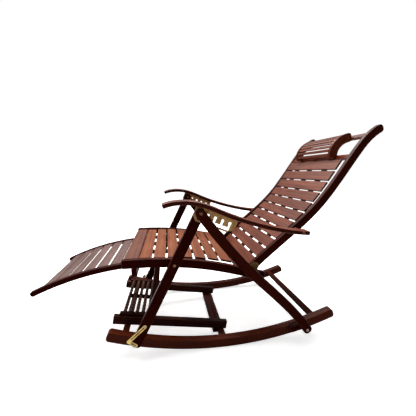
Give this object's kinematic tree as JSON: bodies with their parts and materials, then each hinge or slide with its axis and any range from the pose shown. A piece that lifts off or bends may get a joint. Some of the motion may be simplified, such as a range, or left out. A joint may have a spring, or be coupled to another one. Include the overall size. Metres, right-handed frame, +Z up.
{
  "type": "folding rocking recliner",
  "caption": "Folding bamboo recliner with slatted seat and back, head pillow, curved rockers, notched armrests, a slatted pull-out footrest and a roller foot massager.",
  "frame": {"origin": "bottom centre of the bounding box, on the floor under the chair", "axes": "+X from the footrest to the head, +Y to the sitter's right as the chair is mirrored about Y = 0, +Z up"},
  "size_m": [1.5362, 0.667, 0.9965],
  "materials": {
    "dark_bamboo": "stained and lacquered",
    "slat_bamboo": "stained, satin",
    "brass": "lacquered sheet",
    "steel": "plated bolts"
  },
  "bodies": {
    "base": {"rocker_right": "dark_bamboo", "rocker_left": "dark_bamboo", "rear_foot_bolts": "steel", "rear_foot_spacers": "dark_bamboo", "latch_studs": "steel", "front_base_board": "dark_bamboo", "middle_base_board": "dark_bamboo", "rear_base_board": "dark_bamboo", "massage_rail_right": "dark_bamboo", "massage_rail_left": "dark_bamboo", "cassette_bars": "dark_bamboo", "roller_axles": "steel"},
    "rear_legs": {"rear_leg_right": "dark_bamboo", "rear_leg_left": "dark_bamboo", "top_pivot_bolts": "steel"},
    "front_legs": {"front_leg_right": "dark_bamboo", "front_leg_left": "dark_bamboo", "front_leg_tie": "dark_bamboo", "top_pivot_nuts": "steel", "latch_screws": "steel"},
    "latch_right": {"foot_latch_right": "brass"},
    "latch_left": {"foot_latch_left": "brass"},
    "seat": {"seat_rail_right": "dark_bamboo", "seat_rail_left": "dark_bamboo", "seat_pivot_bolts": "steel", "seat_pivot_washers": "steel", "back_pivot_bolts": "steel", "seat_nose_slat": "dark_bamboo", "seat_slats": "slat_bamboo", "seat_battens": "dark_bamboo", "seat_rear_bar": "dark_bamboo", "footrest_bar": "dark_bamboo", "footrest_hangers": "dark_bamboo"},
    "footrest": {"footrest_rail_right": "dark_bamboo", "footrest_rail_left": "dark_bamboo", "footrest_slats": "slat_bamboo", "footrest_stop_bar": "dark_bamboo"},
    "back_hinges": {"back_hinge_plates": "brass"},
    "back": {"back_rail_right": "dark_bamboo", "back_rail_left": "dark_bamboo", "back_slats": "slat_bamboo", "back_battens": "dark_bamboo", "low_back_bar": "dark_bamboo", "lower_head_bar": "dark_bamboo", "upper_head_bar": "dark_bamboo", "pillow_plate_right": "dark_bamboo", "pillow_plate_left": "dark_bamboo", "pillow_slats": "slat_bamboo"},
    "arm_pivots": {"arm_pivot_bolts": "steel"},
    "armrests": {"armrest_right": "dark_bamboo", "armrest_left": "dark_bamboo", "notch_plate_right": "brass", "notch_plate_left": "brass"},
    "roller_1": {"massage_roller_1": "dark_bamboo"},
    "roller_2": {"massage_roller_2": "dark_bamboo"},
    "roller_3": {"massage_roller_3": "dark_bamboo"},
    "roller_4": {"massage_roller_4": "dark_bamboo"},
    "roller_5": {"massage_roller_5": "dark_bamboo"}
  },
  "joints": [
    {"name": "rear_leg_fold", "type": "hinge", "parent": "base", "child": "rear_legs", "pos_m": [0.4105, 0, 0.076], "axis": [0, -1, 0], "range_deg": [-7, 0]},
    {"name": "leg_fold", "type": "hinge", "parent": "rear_legs", "child": "front_legs", "pos_m": [-0.0745, 0, 0.627], "axis": [0, -1, 0], "range_deg": [0, 58]},
    {"name": "latch_right_turn", "type": "hinge", "parent": "front_legs", "child": "latch_right", "pos_m": [-0.30478, 0.3045, 0.15876], "axis": [0, 1, 0], "range_deg": [0, 70]},
    {"name": "latch_left_turn", "type": "hinge", "parent": "front_legs", "child": "latch_left", "pos_m": [-0.30478, -0.3045, 0.15876], "axis": [0, 1, 0], "range_deg": [0, 70]},
    {"name": "seat_fold", "type": "hinge", "parent": "front_legs", "child": "seat", "pos_m": [-0.17971, 0, 0.41307], "axis": [0, -1, 0], "range_deg": [-81.3, 0]},
    {"name": "footrest_draw", "type": "hinge", "parent": "seat", "child": "footrest", "pos_m": [-0.2975, 0, -0.711], "axis": [0, 1, 0], "range_deg": [0, 16.5]},
    {"name": "back_fold", "type": "hinge", "parent": "seat", "child": "back_hinges", "pos_m": [0.1535, 0, 0.343], "axis": [0, -1, 0], "range_deg": [0, 69.1]},
    {"name": "recline", "type": "hinge", "parent": "back_hinges", "child": "back", "pos_m": [0.1535, 0, 0.343], "axis": [0, 1, 0], "range_deg": [-29, 0]},
    {"name": "arm_fold", "type": "hinge", "parent": "back", "child": "arm_pivots", "pos_m": [0.3605, 0, 0.531], "axis": [0, -1, 0], "range_deg": [-52.3, 0]},
    {"name": "arm_recline", "type": "hinge", "parent": "arm_pivots", "child": "armrests", "pos_m": [0.3605, 0, 0.531], "axis": [0, -1, 0], "range_deg": [-24.1, 0]},
    {"name": "roller_1_spin", "type": "hinge", "parent": "base", "child": "roller_1", "pos_m": [-0.41001, 0, 0.14095], "axis": [0, 1, 0], "continuous": true},
    {"name": "roller_2_spin", "type": "hinge", "parent": "base", "child": "roller_2", "pos_m": [-0.38287, 0, 0.13655], "axis": [0, 1, 0], "continuous": true},
    {"name": "roller_3_spin", "type": "hinge", "parent": "base", "child": "roller_3", "pos_m": [-0.35572, 0, 0.13216], "axis": [0, 1, 0], "continuous": true},
    {"name": "roller_4_spin", "type": "hinge", "parent": "base", "child": "roller_4", "pos_m": [-0.32857, 0, 0.12777], "axis": [0, 1, 0], "continuous": true},
    {"name": "roller_5_spin", "type": "hinge", "parent": "base", "child": "roller_5", "pos_m": [-0.30143, 0, 0.12337], "axis": [0, 1, 0], "continuous": true}
  ],
  "couplings": [
    {"joint": "rear_leg_fold", "follows": "leg_fold", "ratio": -0.12},
    {"joint": "seat_fold", "follows": "leg_fold", "ratio": -1.4},
    {"joint": "back_fold", "follows": "leg_fold", "ratio": 1.19},
    {"joint": "arm_fold", "follows": "leg_fold", "ratio": -0.9},
    {"joint": "arm_recline", "follows": "recline", "ratio": 0.8257}
  ]
}
